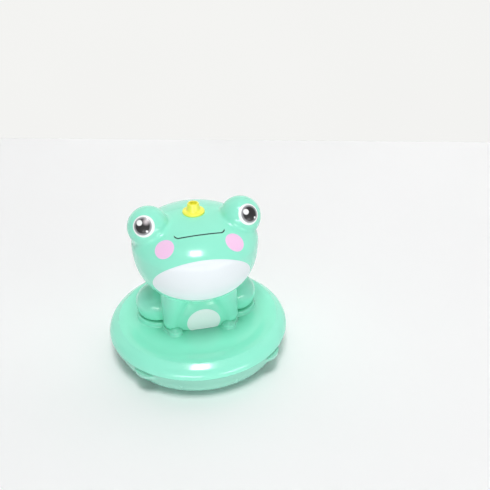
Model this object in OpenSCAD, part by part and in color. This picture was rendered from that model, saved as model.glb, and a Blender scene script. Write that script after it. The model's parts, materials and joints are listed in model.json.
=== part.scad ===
// Floating frog water sprayer for the bath: a two-shell float that carries a hollow frog.
// A motor and pump in the float draw water in below and send it up a hose to the nozzle on the head.
// Millimetres. The origin is the middle of the flat underside, +Z is up and the frog looks along -Y.

/* [Float] */
// Outer radius of the float at its rolled rim
float_r = 54.3; // [50:0.1:60]
// Radius of the rolled rim
rim_r = 7.35; // [6:0.05:9]
// Height of the seam between the two float shells
seam_z = 16; // [15.5:0.1:20]
// How far the platform lies below the crest of the rim
platform_drop = 0.75; // [0.3:0.05:1.5]
// Wall of both float shells
float_wall = 2; // [1.6:0.1:2.6]
// How far the lip of the lower shell stands in from the rim
lip_inset = 0.8; // [0.5:0.1:2]
// Height of that lip
lip_h = 1.6; // [1.2:0.1:3]
// How far the hull stands in from the lip
hull_inset = 2.5; // [1:0.1:3]
// Radius of the corner between the hull's side and its flat bottom
hull_corner = 11; // [8:0.1:12]
// How far the tabs below the lip reach past the rim
lug_reach = 1.5; // [0:0.1:2]
// Radius of a tab's round edge
lug_r = 10.4; // [8:0.1:12]
// How far a tab reaches below the lip
lug_h = 1.5; // [1:0.1:3]
// How far a tab reaches up into the lip
lug_root = 0.3; // [0.2:0.05:0.6]

/* [Seam] */
// How far the inside of the dry wall stands in from the rim
dry_inset = 13.3; // [12:0.1:15]
// Thickness of the dry wall and of the skirt above it
dry_t = 2.6; // [2.2:0.1:4]
// Width of the seam seal
seal_w = 1.2; // [0.8:0.1:1.6]
// Height of the seam seal
seal_h = 1.2; // [0.8:0.1:2]
// How far the hull screws stand in from the rim
hull_screw_inset = 6.3; // [5.8:0.1:7]
// Radius of a screw column and of the post above it
column_r = 4.2; // [3.6:0.1:5]

/* [Screws] */
// Thread radius of the hull and body screws
screw_r = 1.3; // [1:0.05:1.5]
// Head radius of those screws
screw_head_r = 2.4; // [2:0.1:2.6]
// Head height of those screws
screw_head_h = 1.6; // [1.2:0.1:2]
// How deep those screws bite past the joint
screw_grip = 4.2; // [3:0.1:4.4]
// Thread radius of the small screws
small_screw_r = 0.9; // [0.7:0.05:1.1]
// Head radius of the small screws
small_head_r = 1.8; // [1.5:0.1:2]
// Head height of the small screws
small_head_h = 1.2; // [0.8:0.1:1.4]
// Gap all round a thread
thread_gap = 0.02; // [0.01:0.01:0.05]
// Gap all round a screw head
head_gap = 0.3; // [0.2:0.05:0.5]

/* [Frog body] */
// Radius of the torso
torso_r = 20; // [19:0.1:22]
// Where the torso and neck axis lies, front to back
torso_y = -3; // [-4:0.1:-2]
// Where the flat belly lies, front to back
belly_y = -16; // [-17:0.1:-15]
// Straight height of the torso above the platform
torso_side_h = 10.4; // [8:0.1:12]
// Radius of the shoulder
shoulder_r = 12; // [10:0.1:13]
// Radius of the neck
neck_r = 14; // [13:0.1:15]
// Wall of the frog's body
body_wall = 1.8; // [1.4:0.1:2.2]
// Radius of a thigh
thigh_r = 13.7; // [12:0.1:15]
// Middle of a thigh from the middle plane
thigh_x = 23; // [21:0.1:24]
// Middle of a thigh, front to back
thigh_y = 5; // [3:0.1:7]
// Height of a thigh's middle above its pad
thigh_lift = 7.4; // [7:0.1:9]
// Height of the pads that the thighs and legs stand on
pad_h = 3; // [2:0.1:4]
// Open gap between a thigh and its pad
crevice = 0.4; // [0.2:0.05:0.8]
// Radius of a front leg at its foot
leg_foot_r = 4.2; // [3.5:0.1:5]
// Radius of a front leg at its shoulder
leg_top_r = 7.2; // [6.4:0.1:8]
// Foot of a front leg from the middle plane
leg_foot_x = 18.2; // [17.6:0.1:20]
// Foot of a front leg, front to back
leg_foot_y = -12.6; // [-13.4:0.1:-12]
// Height of a front leg
leg_h = 13.6; // [12:0.1:14]
// How far the front legs lean in towards the shoulder
leg_lean_x = 3.4; // [2:0.1:4]
// How far the front legs lean back towards the shoulder
leg_lean_y = 1; // [0:0.1:2]
// Radius of a toe lobe
toe_r = 4.4; // [4:0.1:5]
// Height of a toe lobe
toe_h = 3.4; // [2:0.1:3.8]
// Toe lobe from the middle plane
toe_x = 15.9; // [15:0.1:17]
// Toe lobe, front to back
toe_y = -16.2; // [-17:0.1:-15]
// Radius of the bosses that the body screws bite into
boss_r = 2.8; // [2.4:0.1:3.4]

/* [Head] */
// Half width and half depth of the head
head_r = 36.1; // [33:0.1:38]
// Height of the head
head_h = 50.6; // [48:0.1:54]
// Height of the head's crown above its widest level
crown_h = 17.6; // [16:0.1:20]
// How full the head's outline is below its widest level, with 2 for an ellipse
jowl_full = 2.44; // [2:0.02:2.6]
// How full the crown's outline is, with 2 for an ellipse
crown_full = 1.9; // [1.7:0.02:2.2]
// Middle of the head, front to back
head_y = -3.8; // [-5:0.1:-3]
// Height of the head's underside above the platform
head_lift = 23; // [22.6:0.1:24]
// Wall of the head
head_wall = 2; // [1.6:0.1:2.4]
// Where the head parts into front and rear, front to back
head_split_y = 3.2; // [1.6:0.1:4]
// Radius of an eye bump
eye_r = 11.75; // [10:0.05:13]
// Eye bump from the middle plane
eye_x = 25.9; // [24:0.1:27]
// Eye bump ahead of the head's middle
eye_ahead = 2.95; // [1:0.05:4]
// Height of an eye bump's middle above the head's widest level
eye_up = 12.9; // [11:0.1:14]
// How far the neck stands up inside the head
neck_rise = 7.2; // [6.6:0.1:8]
// Thickness of the neck's flange
flange_t = 1.6; // [1.2:0.1:2]
// How far the flange stands out from the neck
flange_out = 1.6; // [1.2:0.1:1.8]
// Gap between the neck and the head's collar
collar_gap = 0.1; // [0.05:0.05:0.2]
// Wall of the head's collar
collar_t = 2.4; // [2:0.1:3]

/* [Nozzle] */
// Nozzle ahead of the head's middle
nozzle_ahead = 0; // [0:0.1:4]
// Forward tilt of the nozzle in degrees
nozzle_tilt = 0; // [0:0.1:6]
// Radius of the nozzle's flange
nozzle_flange_r = 6.3; // [5.6:0.1:7]
// Thickness of the nozzle's flange
nozzle_flange_t = 1.3; // [1:0.1:2]
// How deep the flange is set into the head
nozzle_sink = 0.45; // [0.45:0.05:0.8]
// Radius of the stem at its foot
nozzle_stem_r = 3.7; // [3.3:0.1:4.2]
// Radius of the stem at its tip
nozzle_tip_r = 3.1; // [2.7:0.1:3.4]
// Height of the stem above the flange
nozzle_stem_h = 4.6; // [3:0.1:6]
// Depth of the cup in the stem's tip
nozzle_cup = 2; // [1:0.1:3]
// Wall round that cup
nozzle_lip = 0.9; // [0.6:0.1:1.2]
// Radius of the water way
water_r = 1; // [0.8:0.05:1.2]
// Radius of the spigot below the flange
spigot_r = 3; // [2.8:0.1:3.4]
// Length of the spigot
spigot_l = 9; // [8:0.1:11]
// Gap between the spigot and its socket
spigot_gap = 0.05; // [0.02:0.01:0.1]
// Section radius of the nozzle's seal ring
ring_r = 0.5; // [0.4:0.05:0.6]
// Wall of the nozzle socket
socket_wall = 1.6; // [1.2:0.1:2]
// Depth of the head's boss below the flange
nozzle_boss_h = 4; // [3.6:0.1:5]

/* [Hose] */
// Outer radius of the hose
hose_r = 2.7; // [2.5:0.05:3]
// Bore radius of the hose
hose_bore = 1.7; // [1.6:0.05:1.8]
// Gap between the hose and the barbs that it is pushed on
hose_gap = 0.02; // [0.01:0.01:0.05]
// Length of a barb inside the hose
barb_l = 5; // [4:0.1:6]
// Gap between the hose and the motor beside it
hose_clear = 0.45; // [0.3:0.05:1]

/* [Motor and pump] */
// Radius of the motor can
motor_r = 7.75; // [7:0.05:8]
// Distance across the motor can's flats
motor_flat = 12; // [11:0.1:13]
// Length of the motor can
can_l = 15; // [13:0.1:17]
// Length of the motor's end cap
cap_l = 5; // [4:0.1:6]
// Wall of the motor can
can_wall = 0.8; // [0.6:0.1:1]
// Radius of the motor's nose
nose_r = 2.5; // [2:0.1:3]
// Length of the motor's nose
nose_h = 1.2; // [0.8:0.1:1.6]
// Radius of the motor shaft
shaft_r = 0.75; // [0.6:0.05:0.9]
// Running gap round the shaft
shaft_gap = 0.05; // [0.02:0.01:0.1]
// Radius of the armature
armature_r = 4.9; // [4:0.1:5.1]
// Thickness of a magnet
magnet_t = 1.2; // [1:0.1:1.4]
// Where the pump and motor axis lies, front to back
pump_y = -4.5; // [-5:0.1:-4.2]
// Outer radius of the pump housing
pump_r = 9; // [8.6:0.1:9.2]
// Wall of the pump housing
pump_wall = 1.6; // [1.2:0.1:1.8]
// Thickness of the pump cover
cover_t = 1.2; // [1:0.1:1.6]
// Height of the pump chamber
chamber_h = 6.3; // [5.8:0.1:7]
// Thickness of the pump housing's roof and of the motor seat above it
roof_t = 2; // [1.8:0.1:2.4]
// Radius of the pump's inlet eye
eye_hole_r = 2.6; // [2.2:0.1:3]
// Radius of the impeller
impeller_r = 6.5; // [5.8:0.1:6.7]
// Number of impeller blades
blade_count = 6; // [4:1:8]
// Thickness of an impeller blade
blade_t = 0.9; // [0.7:0.1:1.2]
// Running gap between the impeller and the pump cover
impeller_gap = 0.8; // [0.4:0.1:1]
// Outer radius of the shaft seal
shaft_seal_r = 2.4; // [2:0.1:2.8]
// Thickness of the shaft seal
shaft_seal_t = 1.4; // [1:0.1:1.6]
// Thickness of the motor bracket
bracket_t = 1.6; // [1.2:0.1:2]
// Bracket screws from the pump axis
bracket_screw_x = 19; // [18:0.1:20]
// Half depth of the motor bracket
bracket_half = 8.5; // [8:0.1:8.8]
// Radius of the intake strainer
strainer_r = 5.4; // [5:0.1:6]
// Radius of a strainer hole
strainer_hole_r = 0.9; // [0.6:0.05:1]
// How far pieces in the underside stand back from the floor
sink = 0.3; // [0.2:0.05:0.6]

/* [Battery] */
// Radius of a cell
cell_r = 5.25; // [5:0.05:5.4]
// Length of a cell with its button end
cell_l = 44.5; // [44:0.1:45]
// Gap between the cells and round them
cell_gap = 0.6; // [0.4:0.1:0.8]
// Thickness of a contact plate
contact_t = 0.4; // [0.3:0.05:0.6]
// Room for a contact spring
spring_l = 2.6; // [2.2:0.1:3.2]
// Wall of the battery bay
bay_wall = 1.4; // [1.2:0.1:1.6]
// Front of the battery bay's inside
bay_front = 6.4; // [6.2:0.1:6.8]
// Thickness of the battery door
door_t = 1.6; // [1.2:0.1:2]
// Gap round the battery door
door_gap = 0.3; // [0.2:0.05:0.5]
// Thickness of the door seal
door_seal_t = 0.7; // [0.5:0.1:1]
// Width of the door seal
door_seal_w = 1; // [0.8:0.1:1.2]
// Door screws out from the bay's inside
door_screw_out = 4.8; // [4.6:0.1:5.4]
// Half width of a door's screw tab
door_tab = 3.4; // [3:0.1:3.8]

/* [Control] */
// Board length
board_l = 18; // [16:0.1:19]
// Board width
board_w = 14; // [13:0.1:15]
// Board thickness
board_t = 1.2; // [1:0.1:1.6]
// Middle of the board from the middle plane
board_x = -20; // [-21:0.1:-19.6]
// Middle of the board, front to back
board_y = -20.5; // [-21:0.1:-20]
// Height of the board above the hull floor
board_lift = 6; // [5.8:0.1:7]
// Radius of the power button
button_r = 4; // [3:0.1:4.6]
// Travel of the power button
button_travel = 0.8; // [0.4:0.1:1]
// Thickness of the button's inner flange
button_flange_t = 0.8; // [0.6:0.1:1]
// Running gap round the button
button_gap = 0.1; // [0.05:0.01:0.1]
// Thickness of the button seal
button_seal_t = 1.1; // [0.8:0.1:1.2]
// Side of the switch body
switch_side = 6; // [5.5:0.1:7]
// Radius of the switch plunger
plunger_r = 1.5; // [1.2:0.1:1.8]
// Radius of a sensor pin
pin_r = 1.2; // [0.9:0.1:1.4]
// Sensor pins from the middle plane
pin_x = 7; // [6:0.1:8]
// Sensor pins, front to back
pin_y = -31; // [-32:0.1:-30]
// Radius of a lead
lead_r = 0.6; // [0.5:0.05:0.7]

/* [Hidden] */
$fn = 64;
eps = 0.01;
over = 1;

mint = [0.53, 0.93, 0.79];
hull_mint = [0.60, 0.87, 0.79];
yellow = [1.00, 0.95, 0.38];
ivory = [0.93, 0.92, 0.86];
silver = [0.75, 0.76, 0.78];
rubber = [0.25, 0.26, 0.28];
clear_grey = [0.86, 0.88, 0.88];
brass = [0.78, 0.64, 0.33];
copper = [0.72, 0.45, 0.30];
board_green = [0.10, 0.42, 0.24];
signal_red = [0.80, 0.14, 0.12];

// Small sizes of the mouldings
post_inset = 1;
blind_end = 0.4;
pad_flare = 0.3;
leg_pad_edge = 0.5;
shoulder_proud = 0.1;
flange_clear = 0.2;
flange_cut_h = 4;
spigot_clear = 0.3;
long_cut = 30;
board_post_r = 2.2;
pin_boss = 1.4;
pin_head = 0.8;
pin_head_gap = 0.1;
frame_out = 8.6;
frame_rear = 4;
door_boss_h = 5;
bracket_bite = 4;
board_bite = 3;
door_bite = 3;
bite_gap = 1;
contact_half = 4;
cell_tip_r = 1.9;
cell_tip_h = 1;
coil_r = 3.2;
coil_taper = 1.2;
coil_wire_r = 0.25;
coil_gap = 0.35;
button_seal_edge = 0.5;

// Float levels and radii
platform_z = seam_z + rim_r - platform_drop;
platform_under = platform_z - float_wall;
floor_z = float_wall;
rim_c = float_r - rim_r;
lip_r = float_r - lip_inset;
hull_r = lip_r - hull_inset;
hull_flat_r = hull_r - hull_corner;
lip_z = seam_z - lip_h;
lug_c = float_r + lug_reach - lug_r;
dry_r = float_r - dry_inset;
seal_r = dry_r + dry_t / 2;
hull_screw_c = float_r - hull_screw_inset;
screw_seat_z = seam_z - screw_grip;
corners = [45, 135, 225, 315];
// How deep a raised form reaches into the wall that carries it
root = float_wall / 2;

// Frog levels
pad_z = platform_z + pad_h;
thigh_z = pad_z + thigh_lift;
shoulder_z = platform_z + torso_side_h;
head_base_z = platform_z + head_lift;
head_z = head_base_z + head_h - crown_h;
eye_y = head_y - eye_ahead;
eye_z = head_z + eye_up;
flange_r = neck_r + flange_out;
neck_top = head_base_z + neck_rise;
collar_top = neck_top - flange_t - collar_gap;
boss_root = 0.4;
boss_h = 9;
boss_reach = torso_r - body_wall - boss_r + boss_root;
rear_boss = [boss_reach * sin(35), torso_y + boss_reach * cos(35)];
leg_boss = [leg_foot_x - 0.7, leg_foot_y + 0.3];
body_bosses = [for (s = [-1, 1]) each [[s * rear_boss[0], rear_boss[1], platform_z],
                                       [s * leg_boss[0], leg_boss[1], pad_z]]];
screw_bite = 6;

// Nozzle seat: its height follows the head's outline
nozzle_y = head_y - nozzle_ahead;
nozzle_z = head_z + crown_h * pow(1 - pow(nozzle_ahead / head_r, crown_full), 1 / crown_full);
socket_r = spigot_r + spigot_gap;
socket_top = -nozzle_sink - nozzle_boss_h;
socket_floor = -nozzle_sink - spigot_l - 0.6;
socket_flange_r = socket_r + socket_wall + 1.6;
ring_w = -nozzle_sink - spigot_l + 1.8;
ring_c = spigot_r - ring_r;

// Pump levels, upwards from the hull floor
cover_z = floor_z + cover_t;
roof_z = cover_z + chamber_h;
seat_z = roof_z + roof_t;
motor_z = seat_z + roof_t;
cap_z = motor_z + can_l;
motor_top = cap_z + cap_l;
bracket_z = motor_z;
bracket_top = bracket_z + bracket_t;
hose_x = motor_r + hose_clear + hose_r;
barb_r = hose_bore - hose_gap;
duct_r = barb_r + 1.2;
impeller_z = cover_z + impeller_gap;
impeller_top = roof_z - impeller_gap;
shroud_t = 1.2;

// The hose's route from the pump's barb, past the motor and through the neck, to the nozzle's socket
hose_end = socket_floor - socket_wall;
hose_points = [[hose_x, pump_y, bracket_top], [hose_x, pump_y, motor_top + 7],
    [3, torso_y - 2.5, head_base_z + 6], on_nozzle_axis(hose_end - 14), on_nozzle_axis(hose_end)];

// Battery bay
cell_pitch = 2 * cell_r + cell_gap;
bay_half = (cell_l + spring_l) / 2 + contact_t;
bay_rear = bay_front + 2 * cell_pitch;
door_top = sink + door_t;
ledge_z = door_top + door_seal_t;
cell_z = door_top + cell_gap + cell_r;
bay_top = cell_z + cell_r + cell_gap;
frame_t = ledge_z + 1.6;
bay_mid = (bay_front + bay_rear) / 2;
door_screw_x = bay_half + door_screw_out;
cell_rows = [bay_front + cell_pitch / 2, bay_front + 1.5 * cell_pitch];
tab_w = 3;
tab_top = bay_top + bay_wall + 2;

// Control board
board_z = floor_z + board_lift;
board_top = board_z + board_t;
pin_l = 6;
pin_top = sink + pin_l;
board_posts = [[board_x - board_l / 2 + board_post_r, board_y + board_w / 2 - board_post_r],
               [board_x + board_l / 2 - board_post_r, board_y - board_w / 2 + board_post_r]];
post_r = 2.6;
button_flange_r = button_r + 1.3;
button_flange_z = floor_z + button_seal_t + 0.1;
button_top = button_flange_z + button_flange_t;
switch_z = button_top + button_travel + 0.1;
plunger_top = switch_z + 1.2;

// Shared shapes

// A ring that stands on z, from radius r0 to radius r1
module ring(r0, r1, z, h) {
    translate([0, 0, z])
    difference() {
        cylinder(r = r1, h = h);
        translate([0, 0, -over]) cylinder(r = r0, h = h + 2 * over);
    }
}

// A block between two corners
module block(a, b) {
    translate(a) cube(b - a);
}

// A screw that points up, with its head below z and its thread above
module screw_up(r, head_r, head_h, l) {
    translate([0, 0, -head_h]) cylinder(r = head_r, h = head_h);
    translate([0, 0, -eps]) cylinder(r = r, h = l + eps);
}

// The points of a route with each corner rounded off between the middles of its two runs
function rounded(p, steps) =
    let (n = len(p), mid = [for (i = [0 : n - 2]) (p[i] + p[i + 1]) / 2])
    concat([p[0]],
        [for (i = [1 : n - 2], k = [0 : steps])
            let (t = k / steps)
            (1 - t) * (1 - t) * mid[i - 1] + 2 * t * (1 - t) * p[i] + t * t * mid[i]],
        [p[n - 1]]);

// Rings of points round a route, each square to it and turned alike about the direction ref
function rings(points, r, sides, ref) =
    let (n = len(points))
    [for (i = [0 : n - 1])
        let (ahead = points[min(i + 1, n - 1)] - points[max(i - 1, 0)],
             t = ahead / norm(ahead),
             side = cross(t, ref),
             u = side / norm(side),
             v = cross(t, u))
        for (k = [0 : sides - 1]) points[i] + r * (cos(k * 360 / sides) * u + sin(k * 360 / sides) * v)];

// Triangles that join n rings, whose first point has the index at
function ring_walls(n, sides, at) =
    [for (i = [0 : n - 2], k = [0 : sides - 1])
        let (a = at + i * sides + k, b = at + i * sides + (k + 1) % sides)
        each [[a, a + sides, b], [b, a + sides, b + sides]]];

// A solid wire along a list of points
module wire(points, r, ref) {
    sides = 6;
    last = (len(points) - 1) * sides;
    ends = [for (k = [1 : sides - 2]) each [[0, k, k + 1], [last, last + k + 1, last + k]]];
    polyhedron(rings(points, r, sides, ref), concat(ring_walls(len(points), sides, 0), ends));
}

// A hollow hose along a list of points, whose flat-sided bore clears the radius bore
module hose(points, r, bore, ref) {
    sides = 12;
    n = len(points);
    inner = n * sides;
    ends = [for (k = [0 : sides - 1])
        let (k1 = (k + 1) % sides, far = (n - 1) * sides)
        each [[k, k1, inner + k], [k1, inner + k1, inner + k],
              [far + k, far + inner + k, far + k1], [far + k1, far + inner + k, far + inner + k1]]];
    bore_walls = [for (f = ring_walls(n, sides, inner)) [f[0], f[2], f[1]]];
    polyhedron(concat(rings(points, r, sides, ref), rings(points, bore / cos(180 / sides), sides, ref)),
               concat(ring_walls(n, sides, 0), bore_walls, ends));
}

// The float's upper profile: the platform and the rolled rim
module upper_profile() {
    translate([0, platform_under]) square([rim_c - rim_r / 3, float_wall]);
    intersection() {
        translate([rim_c, seam_z])
        difference() {
            circle(r = rim_r);
            circle(r = rim_r - float_wall);
        }
        translate([rim_c - rim_r / 2, seam_z]) square([2 * rim_r, 2 * rim_r]);
    }
}

// A bowl profile with a flat bottom at z, a round corner and a straight side up to the top
module bowl_profile(z, flat_r, corner, top) {
    translate([0, z]) square([flat_r, top - z]);
    translate([0, z + corner]) square([flat_r + corner, top - z - corner]);
    intersection() {
        translate([flat_r, z + corner]) circle(r = corner);
        translate([flat_r - over, z]) square([corner + over, corner + over]);
    }
}

module hull_solid() {
    rotate_extrude() bowl_profile(0, hull_flat_r, hull_corner, seam_z);
}

module hull_inside() {
    rotate_extrude() bowl_profile(float_wall, hull_flat_r, hull_corner - float_wall, seam_z + over);
}

module at_corners(r) {
    for (a = corners) rotate(a) translate([r, 0, 0]) children();
}

// A point of a rounded outline with half sizes a and c, at the angle t up from the widest level
function oval_point(a, c, full, t) = [a * pow(cos(t), 2 / full), c * pow(sin(t), 2 / full)];

// The head's outer form, drawn in by an inset all round
module head_form(inset) {
    a = head_r - inset;
    crown = crown_h - inset;
    jowl = head_h - crown_h - inset;
    low = [for (t = [84 : -6 : 6]) let (p = oval_point(a, jowl, jowl_full, t)) [p[0], -p[1]]];
    high = [for (t = [6 : 6 : 84]) oval_point(a, crown, crown_full, t)];
    translate([0, head_y, head_z])
    rotate_extrude() polygon(concat([[0, -jowl]], low, [[a, 0]], high, [[0, crown]]));
    for (s = [-1, 1]) translate([s * eye_x, eye_y, eye_z]) sphere(r = eye_r - inset);
}

// The frame of the nozzle: its seat on the head, tilted forward
module at_nozzle() {
    translate([0, nozzle_y, nozzle_z]) rotate([nozzle_tilt, 0, 0]) children();
}

function on_nozzle_axis(w) =
    [0, nozzle_y - w * sin(nozzle_tilt), nozzle_z + w * cos(nozzle_tilt)];

// The motor's section, drawn out by a gap
module motor_section(gap) {
    intersection() {
        circle(r = motor_r + gap);
        square([3 * motor_r, motor_flat + 2 * gap], center = true);
    }
}

module at_pump() {
    translate([0, pump_y, 0]) children();
}

// Float

module float_upper_shell() {
    color(mint)
    difference() {
        union() {
            rotate_extrude() upper_profile();
            ring(dry_r, dry_r + dry_t, seam_z, platform_under - seam_z + eps);
            at_corners(hull_screw_c)
            translate([0, 0, seam_z]) cylinder(r = column_r - post_inset, h = screw_grip);
            for (s = [-1, 1]) side_pads(s);
            toe_lobes();
        }
        platform_opening();
        at_corners(hull_screw_c)
        translate([0, 0, seam_z - over]) cylinder(r = screw_r + thread_gap, h = screw_grip + over - blind_end);
        for (b = body_bosses)
        translate([b[0], b[1], platform_under - over])
        cylinder(r = screw_r + thread_gap, h = 2 * over + pad_h + float_wall);
    }
}

// The pads that a thigh and a front leg stand on, cut back where the torso stands on the platform
module side_pads(s) {
    difference() {
        union() {
            translate([s * thigh_x, thigh_y, platform_z - root])
            cylinder(r1 = thigh_r + pad_flare, r2 = thigh_r - pad_flare, h = pad_h + root);
            leg_pad(s);
        }
        torso_stand();
    }
}

module toe_lobes() {
    for (s = [-1, 1])
    difference() {
        toe_lobe(s);
        leg_pad(s);
    }
}

module leg_pad(s) {
    translate([s * leg_foot_x, leg_foot_y, platform_z - root])
    cylinder(r = leg_foot_r + leg_pad_edge, h = pad_h + root);
}

// A toe lobe: a dome ahead of the belly's plane
module toe_lobe(s) {
    lobe_r = (toe_r * toe_r + toe_h * toe_h) / (2 * toe_h);
    intersection() {
        translate([s * toe_x, toe_y, platform_z + toe_h - lobe_r]) sphere(r = lobe_r);
        block([s * toe_x - lobe_r - over, toe_y - lobe_r - over, platform_z - root],
              [s * toe_x + lobe_r + over, belly_y, platform_z + toe_h + over]);
    }
}

// The room that the torso takes up on the platform
module torso_stand() {
    intersection() {
        translate([0, torso_y, platform_z - 2 * root]) cylinder(r = torso_r, h = 2 * pad_h + 2 * root);
        block([-2 * torso_r, belly_y, 0], [2 * torso_r, 2 * torso_r, 2 * platform_z]);
    }
}

// The way up from the float into the frog, for the motor, the hose and the leads
module platform_opening() {
    half = hose_x + hose_r + hose_clear;
    depth = motor_flat / 2 + 2.4;
    block([-half, pump_y - depth, platform_under - over], [half, pump_y + depth, platform_z + over]);
}

module float_lower_shell() {
    color(hull_mint)
    difference() {
        union() {
            difference() {
                union() {
                    hull_solid();
                    ring(hull_r - float_wall, lip_r, lip_z, lip_h);
                    at_corners(lug_c)
                    translate([0, 0, lip_z - lug_h]) cylinder(r = lug_r, h = lug_h + lug_root);
                }
                hull_inside();
            }
            intersection() {
                hull_solid();
                union() {
                    ring(dry_r, dry_r + dry_t, floor_z - eps, seam_z - floor_z + eps);
                    at_corners(hull_screw_c) cylinder(r = column_r, h = seam_z);
                    bay_solid();
                    for (s = [-1, 1])
                    translate([s * bracket_screw_x, pump_y, floor_z - eps])
                    cylinder(r = post_r, h = bracket_z - floor_z + eps);
                    for (p = board_posts)
                    translate([p[0], p[1], floor_z - eps])
                    cylinder(r = board_post_r, h = board_z - floor_z + eps);
                    for (s = [-1, 1])
                    translate([s * pin_x, pin_y, floor_z - eps]) cylinder(r = pin_r + pin_boss, h = float_wall);
                }
            }
        }
        bay_inside();
        at_pump() translate([0, 0, -over]) cylinder(r = strainer_r + 0.05, h = floor_z + 2 * over);
        translate([board_x, board_y, -over]) cylinder(r = button_r + button_gap, h = floor_z + 2 * over);
        for (s = [-1, 1])
        translate([s * pin_x, pin_y, -over]) {
            cylinder(r = pin_r + thread_gap, h = floor_z + 4);
            cylinder(r = pin_r + pin_head + pin_head_gap, h = over + sink + pin_head);
        }
        at_corners(hull_screw_c) {
            translate([0, 0, -over]) cylinder(r = screw_head_r + head_gap, h = screw_seat_z + over);
            cylinder(r = screw_r + thread_gap, h = seam_z + over);
        }
        for (s = [-1, 1])
        translate([s * bracket_screw_x, pump_y, bracket_z - bracket_bite - bite_gap])
        cylinder(r = small_screw_r + thread_gap, h = bracket_bite + bite_gap + over);
        for (p = board_posts)
        translate([p[0], p[1], board_z - board_bite - bite_gap])
        cylinder(r = small_screw_r + thread_gap, h = board_bite + bite_gap + over);
        ring(seal_r - seal_w / 2, seal_r + seal_w / 2, seam_z - seal_h, seal_h + over);
    }
}

// The battery bay's walls, the thick frame round its door and the bosses for the door's screws
module bay_solid() {
    block([-bay_half - bay_wall, bay_front - bay_wall, eps],
          [bay_half + bay_wall, bay_rear + bay_wall, bay_top + bay_wall]);
    block([-bay_half - frame_out, bay_front - bay_wall, eps],
          [bay_half + frame_out, bay_rear + frame_rear, frame_t]);
    for (s = [-1, 1])
    translate([s * door_screw_x, bay_mid, eps]) cylinder(r = post_r, h = frame_t + door_boss_h);
}

module bay_inside() {
    block([-bay_half, bay_front, ledge_z - over], [bay_half, bay_rear, bay_top]);
    translate([0, 0, -over]) door_outline(door_gap, ledge_z + over);
    for (s = [-1, 1])
    translate([s * door_screw_x, bay_mid, 0])
    cylinder(r = small_screw_r + thread_gap, h = frame_t + door_bite + bite_gap);
    for (y = cell_rows)
    block([-bay_half, y - tab_w / 2 - 0.1, bay_top - over],
          [-bay_half + contact_t + 0.1, y + tab_w / 2 + 0.1, bay_top + bay_wall + over]);
}

// The door's outline from z = 0 up: a plate over the bay with a screw tab at each end
module door_outline(gap, h) {
    rim = door_seal_w + 0.3 + gap;
    block([-bay_half - rim, bay_front - rim + 0.2, 0], [bay_half + rim, bay_rear + rim, h]);
    reach = door_screw_x + door_tab - post_r / 2 + gap;
    block([-reach, bay_mid - door_tab - gap, 0], [reach, bay_mid + door_tab + gap, h]);
}

module hull_seal() {
    color(rubber)
    ring(seal_r - seal_w / 2, seal_r + seal_w / 2, seam_z - seal_h, seal_h);
}

module hull_screws() {
    color(silver)
    at_corners(hull_screw_c)
    translate([0, 0, screw_seat_z]) screw_up(screw_r, screw_head_r, screw_head_h, 2 * screw_grip - 0.8);
}

// Frog

// The torso's half profile, drawn in by an inset
module torso_profile(inset, top) {
    c = torso_r - shoulder_r;
    translate([0, platform_z]) square([torso_r - inset, torso_side_h]);
    intersection() {
        translate([c, shoulder_z]) circle(r = shoulder_r - inset);
        translate([0, shoulder_z]) square([torso_r, shoulder_r]);
    }
    translate([0, platform_z]) square([c + eps, torso_side_h + shoulder_r - inset]);
    translate([0, platform_z]) square([neck_r - inset, top - platform_z]);
}

module torso(inset, top) {
    intersection() {
        translate([0, torso_y, 0]) rotate_extrude() torso_profile(inset, top);
        block([-2 * torso_r, belly_y + inset, 0], [2 * torso_r, 2 * torso_r, top]);
    }
}

module thigh(s, inset) {
    intersection() {
        translate([s * thigh_x, thigh_y, thigh_z]) sphere(r = thigh_r - inset);
        translate([s * thigh_x, thigh_y, pad_z + crevice + inset]) cylinder(r = 2 * thigh_r, h = 3 * thigh_r);
    }
}

// A front leg: a tapered column on its pad, with a round shoulder
module front_leg(s) {
    foot = [s * leg_foot_x, leg_foot_y, pad_z];
    lean = [-s * leg_lean_x, leg_lean_y, leg_h];
    intersection() {
        union() {
            translate(foot)
            rotate([0, acos(lean[2] / norm(lean)), atan2(lean[1], lean[0])])
            translate([0, 0, -over]) cylinder(r1 = leg_foot_r, r2 = leg_top_r, h = norm(lean) + over);
            translate(foot + lean) sphere(r = leg_top_r + shoulder_proud);
        }
        translate([foot[0], foot[1], pad_z]) cylinder(r = 3 * leg_top_r, h = 2 * leg_h);
    }
}

module frog_body() {
    flange_z = neck_top - flange_t;
    color(mint)
    difference() {
        union() {
            difference() {
                union() {
                    torso(0, flange_z + eps);
                    for (s = [-1, 1]) {
                        thigh(s, 0);
                        front_leg(s);
                    }
                }
                torso(body_wall, flange_z + over);
                translate([0, 0, -over]) torso(body_wall, platform_z + 2 * over);
                for (s = [-1, 1]) thigh(s, body_wall);
            }
            translate([0, torso_y, 0]) ring(neck_r - body_wall, flange_r, flange_z, flange_t);
            for (b = body_bosses) translate(b) cylinder(r = boss_r, h = boss_h);
        }
        for (b = body_bosses)
        translate([b[0], b[1], platform_z - over])
        cylinder(r = screw_r + thread_gap, h = b[2] - platform_z + screw_bite + 2 * over);
    }
}

module body_screws() {
    color(silver)
    for (b = body_bosses)
    translate([b[0], b[1], platform_under])
    screw_up(screw_r, screw_head_r, screw_head_h, b[2] - platform_under + screw_bite);
}

// The collar that grips the neck, inside the head
module collar() {
    intersection() {
        head_form(eps);
        translate([0, torso_y, 0])
        ring(neck_r + collar_gap, neck_r + collar_gap + collar_t, head_base_z - over,
             collar_top - head_base_z + over);
    }
}

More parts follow.
